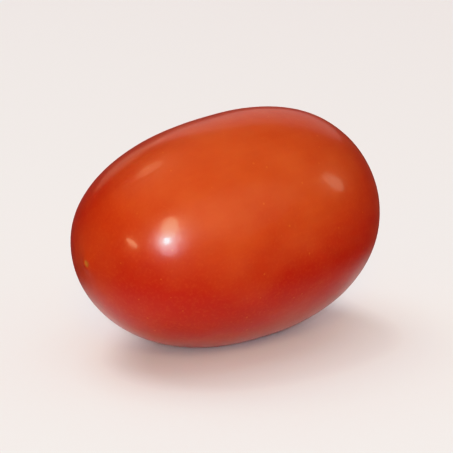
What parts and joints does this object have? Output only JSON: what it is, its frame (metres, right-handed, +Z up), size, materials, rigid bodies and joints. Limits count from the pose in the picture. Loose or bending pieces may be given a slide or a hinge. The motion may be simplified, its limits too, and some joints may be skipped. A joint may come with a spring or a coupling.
{
  "type": "tomato",
  "caption": "Ripe plum tomato without calyx, lying on its side: blunt oval fruit with a dimpled, scarred stem end and a small blossom nub.",
  "frame": {"origin": "middle of the fruit's bounding box in X and Y, at the level of the flat spot it rests on", "axes": "+X along the fruit towards its stem end, +Z up as it lies, blossom end at -X"},
  "size_m": [0.0708, 0.0482, 0.0485],
  "materials": {
    "skin": "smooth waxy red-orange skin with a soft gloss"
  },
  "bodies": {
    "root": {"fruit": "skin"}
  },
  "joints": []
}
